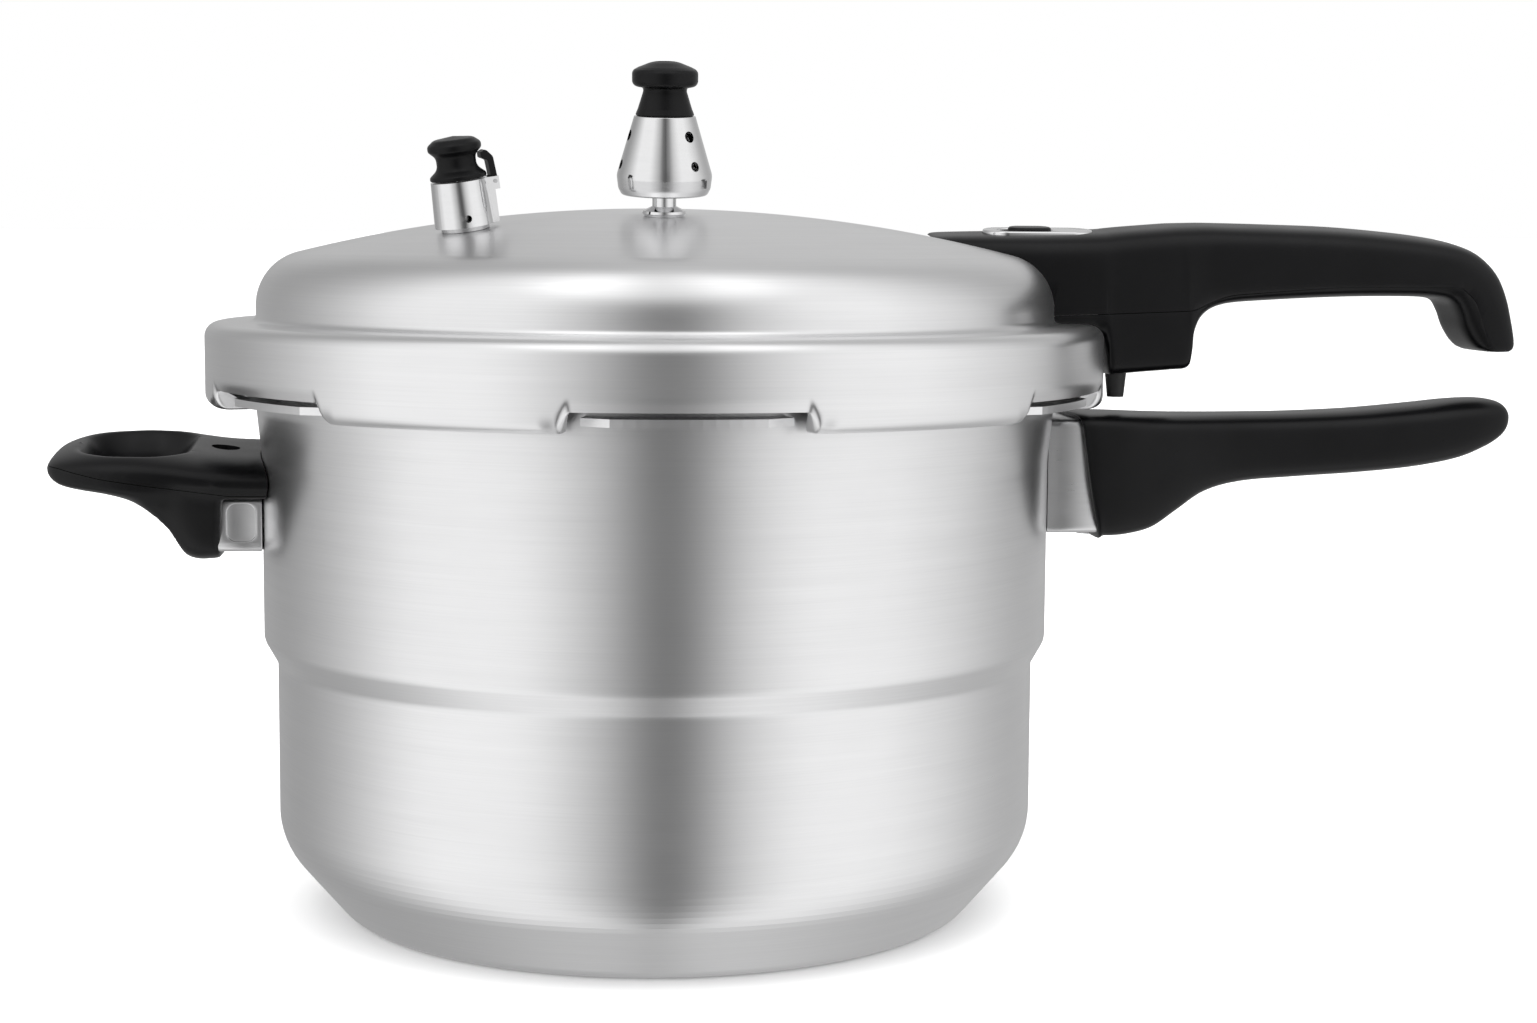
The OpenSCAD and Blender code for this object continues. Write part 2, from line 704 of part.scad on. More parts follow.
module relief_seat() {
    color(metal) at_relief() rotate_extrude() polygon([
        [1.8, -10], [4.8, -10], [4.8, 0.05], [7.2, 0.05], [7.2, 1.4], [5, 1.4], [5, 6.2], [2.6, 6.2], [1.8, 5.2]
    ]);
}

module relief_seal() {
    color(rubber) at_relief() tube(7.8, 4.85, -3.4, -1.8);
}

module relief_nut() {
    color(metal) at_relief() difference() {
        translate([0, 0, -7.6]) cylinder(r = 8.6, h = 4.1, $fn = 6);
        translate([0, 0, -9]) cylinder(r = 4.8, h = 8);
    }
}

module relief_sleeve() {
    color(metal) at_relief() difference() {
        rotate_extrude() polygon([
            [5.1, sleeve_z[0]], [sleeve_r, sleeve_z[0]], [sleeve_r - 0.6, sleeve_z[1]], [3, sleeve_z[1]],
            [3, sleeve_z[1] - 1], [sleeve_r - 1.5, sleeve_z[1] - 1], [sleeve_r - 1, sleeve_z[0] + 1],
            [5.1, sleeve_z[0] + 1]
        ]);
        rotate([0, 0, 58.3]) translate([0, 0, 4]) rotate([0, 90, 0]) cylinder(r = 1.1, h = 20);
        rotate([0, 0, 58.3 + 180]) translate([0, 0, 4]) rotate([0, 90, 0]) cylinder(r = 1.1, h = 20);
    }
}

// Strap welded to the sleeve, with two ears for the clip
module relief_strap() {
    color(metal) at_relief() rotate([0, 0, clip_turn]) difference() {
        union() {
            translate([7, -3.4, sleeve_z[0]]) cube([2.9, 6.8, 10.1]);
            for (s = [-1, 1]) translate([7, s * 2.9 - 0.5, 11]) cube([4.4, 1, 3.8]);
        }
        translate([0, 0, sleeve_z[0]])
            cylinder(r1 = sleeve_r, r2 = sleeve_r - 0.6, h = sleeve_z[1] - sleeve_z[0]);
        translate([10.2, -5, 13.4]) rotate([-90, 0, 0]) cylinder(r = 0.6, h = 10);
    }
}

module relief_clip_pin() {
    color(metal) at_relief() rotate([0, 0, clip_turn]) translate([10.2, -3.6, 13.4])
        rotate([-90, 0, 0]) cylinder(r = 0.6, h = 7.2);
}

// Hinged clip whose toe limits the cap's lift
module relief_clip() {
    color(black) at_relief() rotate([0, 0, clip_turn]) difference() {
        side_extrude(4.2) polygon(outline([
            [9.4, 12.3, 0.4], [10.9, 11.9, 0.5], [11.3, 14.5, 0.6], [10.8, 20.6, 1.8], [8.8, 23, 1],
            [7.1, 22.2, 0.4], [7.1, 20.6, 0.4], [9, 19.6, 0.8], [9.3, 16, 0.5]
        ], 5));
        translate([10.2, -5, 13.4]) rotate([-90, 0, 0]) cylinder(r = 0.65, h = 10);
    }
}

module relief_spring() {
    color(metal) at_relief() spring(3.3, 0.4, 6.2, sleeve_z[1] - 1, 4);
}

module relief_stem() {
    color(metal) at_relief() rotate_extrude() polygon([
        [0, 4.9], [1, 4.9], [2.4, 6.4], [2.4, 8.4], [1.4, 9.4], [1.4, 22], [0, 22]
    ]);
}

module relief_cap() {
    color(black) at_relief() difference() {
        rotate_extrude() polygon(path([
            [0, 15.3, 0], [8.4, 15.3, 0.4], [8.4, 16.4, 0.8], [5.9, 18.6, 3], [5.9, 22, 2.5], [8, 24, 1.2],
            [8, 25.6, 1.4], [6, 27.2, 2.5], [0, 28, 0]
        ], 10));
        translate([0, 0, 10]) cylinder(r = 1.4, h = 12);
    }
}

pot_body();
pot_handle_bracket();
pot_bracket_rivets();
pot_handle();
pot_handle_screw();
helper_bracket();
helper_bracket_rivets();
helper_handle();
helper_handle_screw();
sealing_ring();
lid_shell();
lid_handle_bracket();
lid_bracket_rivets();
lid_handle_upper();
lid_handle_lower();
lid_handle_screws();
handle_foot();
handle_escutcheon();
lock_button();
lock_bar();
lock_leaf();
float_pin();
float_bush();
float_seal();
vent_pipe();
vent_nut();
vent_filter();
regulator_needle();
regulator_weight();
regulator_knob();
regulator_screw();
relief_seat();
relief_seal();
relief_nut();
relief_sleeve();
relief_strap();
relief_spring();
relief_stem();
relief_cap();
relief_clip();
relief_clip_pin();
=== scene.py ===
"""Looks of the stovetop pressure cooker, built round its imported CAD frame.

Lengths in the tables below are in millimetres, in the frame of the CAD part; MM turns them into Blender's metres.
"""

import json
import math

import bmesh
import bpy
from mathutils import Matrix, Vector


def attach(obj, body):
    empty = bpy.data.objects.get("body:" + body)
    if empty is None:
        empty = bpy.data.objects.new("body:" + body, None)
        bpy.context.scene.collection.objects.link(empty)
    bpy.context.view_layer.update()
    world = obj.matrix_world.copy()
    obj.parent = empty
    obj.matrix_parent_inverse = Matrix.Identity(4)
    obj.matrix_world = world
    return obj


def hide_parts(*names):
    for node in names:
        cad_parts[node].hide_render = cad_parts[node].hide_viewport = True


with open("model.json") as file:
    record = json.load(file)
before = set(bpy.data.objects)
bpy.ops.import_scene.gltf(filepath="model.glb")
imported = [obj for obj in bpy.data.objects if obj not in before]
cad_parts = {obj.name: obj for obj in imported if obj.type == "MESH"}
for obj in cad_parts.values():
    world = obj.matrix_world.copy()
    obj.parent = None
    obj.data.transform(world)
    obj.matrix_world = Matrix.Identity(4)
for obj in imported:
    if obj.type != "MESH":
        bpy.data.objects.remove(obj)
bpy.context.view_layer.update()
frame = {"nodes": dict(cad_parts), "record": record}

MM = 0.001


# ---------------------------------------------------------------- outlines

def arc(centre, radius, start, end, steps):
    """Points of an arc about centre, with angles in degrees."""
    angles = [math.radians(start + (end - start) * i / steps) for i in range(steps + 1)]
    return [Vector((centre[0] + radius * math.cos(a), centre[1] + radius * math.sin(a))) for a in angles]


def rounded_corner(before, corner, after, steps):
    """A corner (x, y, r) replaced by an arc of radius r, or less where its sides are short."""
    point = Vector(corner[:2])
    u = Vector(before[:2]) - point
    v = Vector(after[:2]) - point
    half = u.angle(v) / 2
    radius = min(corner[2], 0.48 * min(u.length, v.length) * math.tan(half))
    if radius < 0.02 or half > math.radians(89.5):
        return [point]
    u.normalize()
    v.normalize()
    centre = point + (u + v).normalized() * radius / math.sin(half)
    first = point + u * radius / math.tan(half) - centre
    last = point + v * radius / math.tan(half) - centre
    angle = math.atan2(first.y, first.x)
    turn = math.atan2(first.x * last.y - first.y * last.x, first.dot(last))
    return [centre + radius * Vector((math.cos(angle + turn * i / steps), math.sin(angle + turn * i / steps)))
            for i in range(steps + 1)]


def path(corners, steps=8):
    """Open path through (x, y, r) corners."""
    points = [Vector(corners[0][:2])]
    for before, corner, after in zip(corners, corners[1:], corners[2:]):
        points += rounded_corner(before, corner, after, steps)
    return points + [Vector(corners[-1][:2])]


def outline(corners, steps=8):
    """Closed outline through (x, y, r) corners."""
    count = len(corners)
    points = []
    for i in range(count):
        points += rounded_corner(corners[i - 1], corners[i], corners[(i + 1) % count], steps)
    return points


def evenly(points, count):
    """The same path as count points, evenly spaced along it."""
    lengths = [0.0]
    for a, b in zip(points, points[1:]):
        lengths.append(lengths[-1] + (b - a).length)
    result = []
    k = 0
    for i in range(count):
        at = lengths[-1] * i / (count - 1)
        while k < len(points) - 2 and lengths[k + 1] < at:
            k += 1
        span = lengths[k + 1] - lengths[k] or 1.0
        result.append(points[k].lerp(points[k + 1], min(1.0, (at - lengths[k]) / span)))
    return result


def smoothstep(low, high, x):
    t = min(1.0, max(0.0, (x - low) / (high - low)))
    return t * t * (3 - 2 * t)


# ---------------------------------------------------------------- meshes

def finish_piece(piece, body, material, *nodes, sharp=35):
    """Shades a piece, gives it its material and its body, and hides the CAD nodes that it replaces."""
    piece.data.shade_smooth()
    piece.data.set_sharp_from_angle(angle=math.radians(sharp))
    piece.data.materials.clear()
    piece.data.materials.append(material)
    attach(piece, body)
    if nodes:
        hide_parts(*nodes)


def bridge_rings(mesh, rings, closed=True):
    """Quads between successive rings of vertices."""
    for a, b in zip(rings, rings[1:]):
        count = len(a)
        for i in range(count if closed else count - 1):
            j = (i + 1) % count
            corners = []
            for v in (a[i], a[j], b[j], b[i]):
                if v not in corners:
                    corners.append(v)
            if len(corners) > 2:
                mesh.faces.new(corners)


def lathe(profile, segments=96):
    """A bmesh turned about Z from (radius, height) points; points on the axis become one vertex."""
    mesh = bmesh.new()
    columns = []
    on_axis = {}
    for i in range(segments):
        a = 2 * math.pi * i / segments
        column = []
        for k, (r, z) in enumerate(profile):
            if r < 1e-6:
                if k not in on_axis:
                    on_axis[k] = mesh.verts.new((0, 0, z * MM))
                column.append(on_axis[k])
            else:
                column.append(mesh.verts.new((r * math.cos(a) * MM, r * math.sin(a) * MM, z * MM)))
        columns.append(column)
    bridge_rings(mesh, columns + columns[:1], closed=False)
    return mesh


def prism(points, low, high, axis="Y"):
    """A bmesh with a flat outline swept from low to high along an axis."""
    mesh = bmesh.new()

    def place(p, h):
        point = {"X": (h, p.x, p.y), "Y": (p.x, h, p.y), "Z": (p.x, p.y, h)}[axis]
        return [c * MM for c in point]

    rings = [[mesh.verts.new(place(p, h)) for p in points] for h in (low, high)]
    bridge_rings(mesh, rings)
    mesh.faces.new(rings[0])
    mesh.faces.new(rings[1])
    bmesh.ops.recalc_face_normals(mesh, faces=mesh.faces)
    return mesh


def superellipse(angle, power):
    """A point of a rounded square of half side 1; a higher power makes its corners tighter."""
    c = math.cos(angle)
    s = math.sin(angle)
    return (math.copysign(abs(c) ** (2 / power), c), math.copysign(abs(s) ** (2 / power), s))


def catmull(keys, steps):
    """A smooth curve of number tuples through key tuples."""
    result = []
    last = len(keys) - 1
    for i in range(last):
        p0, p1, p2, p3 = (keys[max(0, min(last, k))] for k in (i - 1, i, i + 1, i + 2))
        for s in range(steps):
            t = s / steps
            result.append(tuple(
                0.5 * (2 * b + (c - a) * t + (2 * a - 5 * b + 4 * c - d) * t * t + (3 * b - a - 3 * c + d) * t ** 3)
                for a, b, c, d in zip(p0, p1, p2, p3)
            ))
    return result + [tuple(keys[-1])]


def loft(keys, steps=6, around=64, crown=None):
    """A handle lofted through sections.

    A key is (top x, top z, bottom x, bottom z, half width, roundness above, roundness below, taper): the section
    stands in the plane of its top point, its bottom point and Y. Taper is the share of the width lost at the bottom.
    A section is widest half-way down, or crown below its top where that is less.
    """
    mesh = bmesh.new()
    rings = []
    for tx, tz, bx, bz, half, above, below, *taper in catmull(keys, steps):
        top = Vector((tx, tz))
        bottom = Vector((bx, bz))
        share = 0.5 if crown is None else min(0.5, crown / (bottom - top).length)
        middle = top.lerp(bottom, share)
        ring = []
        for k in range(around):
            angle = 2 * math.pi * k / around
            u, v = superellipse(angle, above if math.sin(angle) > 0 else below)
            p = middle.lerp(top, v) if v > 0 else middle.lerp(bottom, -v)
            lost = taper[0] * smoothstep(0.3, -0.9, v) if taper else 0.0
            ring.append(mesh.verts.new((p.x * MM, u * half * (1 - lost) * MM, p.y * MM)))
        rings.append(ring)
    bridge_rings(mesh, rings)
    mesh.faces.new(rings[0])
    mesh.faces.new(rings[-1])
    bmesh.ops.recalc_face_normals(mesh, faces=mesh.faces)
    return mesh


def leaned(thing, slope, low, high):
    """Lowers the -Y side and raises the +Y side; the lean sets in between heights low and high."""
    for vertex in thing.data.vertices:
        vertex.co.z += slope * vertex.co.y * smoothstep(low * MM, high * MM, vertex.co.z)
    return thing


def to_object(mesh, name="cutter"):
    """Makes an object of a bmesh, to be shown, cut further or cut with."""
    data = bpy.data.meshes.new(name)
    bmesh.ops.recalc_face_normals(mesh, faces=mesh.faces)
    mesh.to_mesh(data)
    mesh.free()
    thing = bpy.data.objects.new(name, data)
    bpy.context.scene.collection.objects.link(thing)
    return thing


def applied(thing):
    """Replaces an object's mesh by what its modifiers make of it."""
    bpy.context.view_layer.update()
    made = bpy.data.meshes.new_from_object(thing.evaluated_get(bpy.context.evaluated_depsgraph_get()))
    thing.modifiers.clear()
    thing.data = made
    return thing


def boolean(thing, operation, *cutters):
    """Cuts with, or keeps the part inside, each cutter; the cutters are used up."""
    for cutter in cutters:
        modifier = thing.modifiers.new(operation, "BOOLEAN")
        modifier.operation = operation
        modifier.solver = "EXACT"
        modifier.object = cutter
        applied(thing)
        bpy.data.objects.remove(cutter)
    return thing


def softened(thing, voxel, rounds):
    """Remeshes a solid finely and relaxes it, so that its edges become round."""
    remesh = thing.modifiers.new("remesh", "REMESH")
    remesh.mode = "VOXEL"
    remesh.voxel_size = voxel * MM
    smooth = thing.modifiers.new("smooth", "SMOOTH")
    smooth.factor = 0.5
    smooth.iterations = rounds
    return applied(thing)


def bevelled(thing, width, segments=2, angle=40):
    """Rounds the edges sharper than an angle in degrees."""
    modifier = thing.modifiers.new("bevel", "BEVEL")
    modifier.width = width * MM
    modifier.segments = segments
    modifier.limit_method = "ANGLE"
    modifier.angle_limit = math.radians(angle)
    modifier.use_clamp_overlap = True
    return applied(thing)


# ---------------------------------------------------------------- materials

BUMP_DEPTH = 0.0002


class Nodes:
    """Short calls for building a material's nodes."""

    def __init__(self, material):
        self.tree = material.node_tree
        self.shader = self.tree.nodes["Principled BSDF"]

    def add(self, kind, **values):
        node = self.tree.nodes.new(kind)
        for key, value in values.items():
            if hasattr(node, key):
                setattr(node, key, value)
            else:
                node.inputs[key.replace("_", " ")].default_value = value
        return node

    def link(self, output, node, key):
        self.tree.links.new(output, node.inputs[key])

    def math(self, operation, a, b=None):
        node = self.add("ShaderNodeMath", operation=operation)
        for i, value in enumerate((a, b)):
            if value is None:
                continue
            if isinstance(value, (int, float)):
                node.inputs[i].default_value = value
            else:
                self.link(value, node, i)
        return node.outputs[0]

    def noise(self, vector, scale, detail=3.0, roughness=0.5, w=None):
        node = self.add("ShaderNodeTexNoise", noise_dimensions="4D" if w is not None else "3D")
        node.inputs["Scale"].default_value = scale
        node.inputs["Detail"].default_value = detail
        node.inputs["Roughness"].default_value = roughness
        self.link(vector, node, "Vector")
        if w is not None:
            self.link(w, node, "W")
        return node.outputs["Fac"]

    def spread(self, value, low, high, start=0.3, end=0.7):
        """Maps start..end of a value to low..high."""
        node = self.add("ShaderNodeMapRange")
        for key, number in (("From Min", start), ("From Max", end), ("To Min", low), ("To Max", high)):
            node.inputs[key].default_value = number
        self.link(value, node, "Value")
        return node.outputs["Result"]

    def tint(self, value, dark, light):
        """A colour between dark and light."""
        node = self.add("ShaderNodeMix", data_type="RGBA")
        node.inputs[6].default_value = (*dark, 1)
        node.inputs[7].default_value = (*light, 1)
        self.link(value, node, 0)
        return node.outputs[2]

    def bump(self, height, strength):
        node = self.add("ShaderNodeBump")
        node.inputs["Strength"].default_value = strength
        node.inputs["Distance"].default_value = BUMP_DEPTH
        self.link(height, node, "Height")
        return node.outputs["Normal"]


def new_material(name, **sockets):
    """A material by that name; the frame's own one, if there is one, is renamed."""
    material = bpy.data.materials.get(name)
    if material is not None:
        material.name = name + ".frame"
    material = bpy.data.materials.new(name)
    material.use_nodes = True
    nodes = Nodes(material)
    for key, value in sockets.items():
        nodes.shader.inputs[key.replace("_", " ")].default_value = value
    return material, nodes


def turned_coordinates(nodes, centre, tilt):
    """Place, unit direction (x, y), height and radius about a turning axis."""
    place = nodes.add("ShaderNodeTexCoord")
    local = nodes.add("ShaderNodeMapping", vector_type="TEXTURE")
    local.inputs["Location"].default_value = centre
    local.inputs["Rotation"].default_value = tilt
    nodes.link(place.outputs["Object"], local, "Vector")
    split = nodes.add("ShaderNodeSeparateXYZ")
    nodes.link(local.outputs[0], split, 0)
    x, y, z = split.outputs
    radius = nodes.math("SQRT", nodes.math("ADD", nodes.math("MULTIPLY", x, x), nodes.math("MULTIPLY", y, y)))
    safe = nodes.math("MAXIMUM", radius, 1e-5)
    return local.outputs[0], nodes.math("DIVIDE", x, safe), nodes.math("DIVIDE", y, safe), z, radius


def turned_metal(name, light, dark, roughness, grain, turns=2.2, bump=0.1, anisotropic=0.5, centre=(0, 0, 0),
                 tilt=(0, 0, 0)):
    """Metal with fine lines running round an axis. grain is lines per metre."""
    material, nodes = new_material(name, Metallic=1.0, Anisotropic=anisotropic, Anisotropic_Rotation=0.25)
    place, ux, uy, z, radius = turned_coordinates(nodes, centre, tilt)

    def streaks(per_metre, around, detail):
        combine = nodes.add("ShaderNodeCombineXYZ")
        nodes.link(nodes.math("MULTIPLY", ux, around), combine, 0)
        nodes.link(nodes.math("MULTIPLY", uy, around), combine, 1)
        nodes.link(nodes.math("MULTIPLY", z, per_metre), combine, 2)
        return nodes.noise(combine.outputs[0], 1.0, detail, 0.6, w=nodes.math("MULTIPLY", radius, per_metre))

    fine = streaks(grain, turns, 2.0)
    coarse = streaks(grain * 0.12, turns * 0.8, 3.0)
    cloud = nodes.noise(place, 14.0, 4.0, 0.55)
    mixed = nodes.math("ADD", nodes.math("MULTIPLY", fine, 0.55), nodes.math("MULTIPLY", coarse, 0.45))
    shade = nodes.math("ADD", nodes.math("MULTIPLY", mixed, 0.6), nodes.math("MULTIPLY", cloud, 0.4))
    nodes.link(nodes.tint(nodes.spread(shade, 0, 1), dark, light), nodes.shader, "Base Color")
    nodes.link(nodes.spread(shade, roughness * 1.12, roughness * 0.88), nodes.shader, "Roughness")
    nodes.link(nodes.bump(mixed, bump), nodes.shader, "Normal")
    tangent = nodes.add("ShaderNodeTangent", direction_type="RADIAL", axis="Z")
    nodes.link(tangent.outputs[0], nodes.shader, "Tangent")
    return material


def sheet_metal(name, light, dark, roughness, stretch=(120, 120, 2600), bump=0.08):
    """Satin pressed sheet with straight grain; stretch is lines per metre along X, Y and Z."""
    material, nodes = new_material(name, Metallic=1.0)
    place = nodes.add("ShaderNodeTexCoord")
    scaled = nodes.add("ShaderNodeMapping")
    scaled.inputs["Scale"].default_value = stretch
    nodes.link(place.outputs["Object"], scaled, "Vector")
    lines = nodes.noise(scaled.outputs[0], 1.0, 3.0, 0.6)
    cloud = nodes.noise(place.outputs["Object"], 60.0, 4.0, 0.6)
    shade = nodes.math("ADD", nodes.math("MULTIPLY", lines, 0.5), nodes.math("MULTIPLY", cloud, 0.5))
    nodes.link(nodes.tint(nodes.spread(shade, 0, 1), dark, light), nodes.shader, "Base Color")
    nodes.link(nodes.spread(shade, roughness * 1.2, roughness * 0.85), nodes.shader, "Roughness")
    nodes.link(nodes.bump(lines, bump), nodes.shader, "Normal")
    return material


def moulded(name, dark, light, roughness, grain=1800.0, bump=0.05, specular=0.5, wear=0.0):
    """Moulded plastic or rubber with a fine skin, slow waviness and paler worn edges."""
    material, nodes = new_material(name, Specular_IOR_Level=specular)
    place = nodes.add("ShaderNodeTexCoord").outputs["Object"]
    skin = nodes.noise(place, grain, 3.0, 0.6)
    wave = nodes.noise(place, 45.0, 3.0, 0.5)
    edge = nodes.add("ShaderNodeNewGeometry").outputs["Pointiness"]
    worn = nodes.spread(edge, 0, wear, 0.52, 0.6)
    shade = nodes.math("ADD", nodes.spread(wave, 0, 0.5), worn)
    nodes.link(nodes.tint(shade, dark, light), nodes.shader, "Base Color")
    mixed = nodes.math("ADD", nodes.math("MULTIPLY", skin, 0.5), nodes.math("MULTIPLY", wave, 0.5))
    nodes.link(nodes.spread(mixed, roughness * 1.15, roughness * 0.85), nodes.shader, "Roughness")
    nodes.link(nodes.bump(skin, bump), nodes.shader, "Normal")
    return material


# ---------------------------------------------------------------- sizes shared with the CAD part

UPPER_R = 125.4
LID_R = 142.5
LID_T = 1.7
FOOT_R = 126.7
SHOULDER_R = 17.5
CROWN_R = 461.0
CROWN_Z = 224.1
CLAW_R = 131.1
SKIRT_Z = 162.2
CUTOUT_Z = 168.4  # 1 mm above the CAD part's edge, to open a gap over the lugs
LEDGE_Z = 188.4
CUTOUTS = 6
CUTOUT_HALF = 14.5
TOP_Z = 217.6

CROWN_C = CROWN_Z - CROWN_R
SHOULDER_C = CROWN_C + math.sqrt((CROWN_R - SHOULDER_R) ** 2 - (FOOT_R - SHOULDER_R) ** 2)
VENT = (48.0, -91.3)
RELIEF = (80.0, -139.3)


def crown_at(distance):
    return CROWN_C + math.sqrt(CROWN_R ** 2 - distance ** 2)


def on_crown(distance, azimuth):
    """Place on the crown, and the rotation that stands a part square to it."""
    a = math.radians(azimuth)
    place = Vector((distance * math.cos(a), distance * math.sin(a), crown_at(distance))) * MM
    turn = Matrix.Rotation(a, 3, "Z") @ Matrix.Rotation(math.asin(distance / CROWN_R), 3, "Y")
    return place, turn.to_euler()


# ---------------------------------------------------------------- the materials

vent_place, vent_tilt = on_crown(*VENT)
relief_place, relief_tilt = on_crown(*RELIEF)

aluminium = turned_metal("brushed_aluminium", (0.90, 0.90, 0.905), (0.80, 0.80, 0.805), 0.31, 2600, bump=0.10,
                         anisotropic=0.55)
satin = sheet_metal("satin_metal", (0.82, 0.82, 0.825), (0.76, 0.76, 0.765), 0.30, stretch=(40, 40, 900),
                    bump=0.006)
polished = turned_metal("polished_steel", (0.86, 0.86, 0.865), (0.78, 0.78, 0.785), 0.09, 4200, bump=0.02,
                        anisotropic=0.2, centre=vent_place, tilt=vent_tilt)
polished_relief = turned_metal("polished_steel_relief", (0.86, 0.86, 0.865), (0.78, 0.78, 0.785), 0.09, 4200,
                               bump=0.02, anisotropic=0.2, centre=relief_place, tilt=relief_tilt)
fittings = sheet_metal("steel_fittings", (0.66, 0.66, 0.665), (0.54, 0.54, 0.545), 0.28, stretch=(900, 900, 900))
phenolic = moulded("black_phenolic", (0.002, 0.002, 0.0023), (0.0045, 0.0045, 0.005), 0.32, specular=0.2,
                   wear=0.6)
# the sealing ring is near-black, darker than grey silicone: painted shade, so that the gaps over the lugs read dark
gap_shade_silicone = moulded("dark_silicone", (0.018, 0.018, 0.02), (0.032, 0.032, 0.034), 0.6, grain=900.0, bump=0.1)
rubber = moulded("black_rubber", (0.012, 0.012, 0.012), (0.03, 0.03, 0.03), 0.55, grain=1200.0, bump=0.12)

MATERIALS = {
    "brushed_aluminium": aluminium, "satin_metal": satin, "polished_steel": polished, "steel_fittings": fittings,
    "black_phenolic": phenolic, "dark_silicone": gap_shade_silicone, "black_rubber": rubber,
}


# ---------------------------------------------------------------- lid

SKIRT_TOP = 179.0
# over a cut-out the skirt bends inwards by a depth within a height of its edge
PRESS_DEPTH = 1.6
PRESS_HEIGHT = 4.2
# the corners beside a cut-out curl inwards by a depth within a height of the skirt's edge
CURL_DEPTH = 1.2
CURL_HEIGHT = 6.0
# degrees on each side of a cut-out's end in which the lid is sampled closely
END_BAND = 3.6


def lid_upper_profile(t):
    """(radius, height) of the dome and the ledge, inset by t, from the centre to the top of the skirt."""
    bend = math.degrees(math.acos((FOOT_R - SHOULDER_R) / (CROWN_R - SHOULDER_R)))
    crown = arc((0, CROWN_C), CROWN_R - t, 90, bend, 40)
    crown[0].x = 0.0
    shoulder = arc((FOOT_R - SHOULDER_R, SHOULDER_C), SHOULDER_R - t, bend, 0, 26)
    ledge = path([
        (FOOT_R - t, SHOULDER_C - 0.2, 0), (FOOT_R - t, LEDGE_Z - t, 2.4 + t),
        (LID_R - t, LEDGE_Z - 0.4 - t, 5.5 - t), (LID_R - t, SKIRT_TOP, 0),
    ], 10)
    return crown + shoulder + ledge


def section_profile(t):
    """Skirt and claw between two cut-outs, inset by t."""
    wall = path([(LID_R - t, SKIRT_TOP, 0), (LID_R - t, SKIRT_Z + t, 4 - t), (CLAW_R, SKIRT_Z + t, 0)], 8)
    return evenly(wall, 34)


def cutout_profile(t):
    """Skirt over a cut-out, which bends inwards to its edge."""
    wall = []
    for i in range(20):
        z = SKIRT_TOP + (CUTOUT_Z - SKIRT_TOP) * i / 19
        pressed = smoothstep(CUTOUT_Z + PRESS_HEIGHT, CUTOUT_Z - PRESS_HEIGHT / 2, z)
        wall.append(Vector((LID_R - t - PRESS_DEPTH * pressed, z)))
    return wall + [wall[-1].copy() for _ in range(14)]


def lid_columns():
    """Azimuths at which the lid is sampled, close together at the ends of the cut-outs."""
    pitch = 360 / CUTOUTS
    step = 0.25
    angles = []
    a = -pitch / 2
    while a < pitch / 2 - 1e-6:
        angles.append(a)
        near_end = abs(abs(a) - CUTOUT_HALF) < END_BAND
        a += step if near_end else 1.0
    return [a + k * pitch for k in range(CUTOUTS) for a in angles]


def lid_shell():
    upper = [lid_upper_profile(0), lid_upper_profile(LID_T)]
    section = [section_profile(0), section_profile(LID_T)]
    cut = [cutout_profile(0), cutout_profile(LID_T)]
    pitch = 360 / CUTOUTS
    mesh = bmesh.new()
    columns = []
    for azimuth in lid_columns():
        off = abs((azimuth + pitch / 2) % pitch - pitch / 2)
        curl = smoothstep(CUTOUT_HALF - 1.6, CUTOUT_HALF + 0.2, off) - smoothstep(CUTOUT_HALF, CUTOUT_HALF + 2.4, off)
        lift = 1 - smoothstep(CUTOUT_HALF - 1.2, CUTOUT_HALF + 0.3, off)
        profile = []
        for side in (0, 1):
            lower = []
            for s, c in zip(section[side], cut[side]):
                pull = curl * CURL_DEPTH * smoothstep(SKIRT_Z + CURL_HEIGHT, SKIRT_Z, s.y)
                point = Vector((s.x - pull * smoothstep(CLAW_R, LID_R - LID_T, s.x), s.y)).lerp(c, lift)
                lower.append(point)
            whole = upper[side] + lower[1:]
            profile += whole if side == 0 else whole[::-1]
        a = math.radians(azimuth - 90)
        columns.append([mesh.verts.new((p.x * math.cos(a) * MM, p.x * math.sin(a) * MM, p.y * MM)) for p in profile])
    bridge_rings(mesh, columns + columns[:1], closed=False)
    bmesh.ops.remove_doubles(mesh, verts=mesh.verts, dist=2e-5)
    bmesh.ops.dissolve_degenerate(mesh, edges=mesh.edges, dist=1e-5)
    finish_piece(to_object(mesh, "lid_dome"), "lid", aluminium, "lid_shell", sharp=50)


def dome_solid():
    """Everything inside the lid's outer surface, for cutting the handle to it."""
    profile = lid_upper_profile(-0.05)
    return to_object(lathe([(p.x, p.y) for p in profile] + [(0, SKIRT_TOP)], 160))


# ---------------------------------------------------------------- lid handle

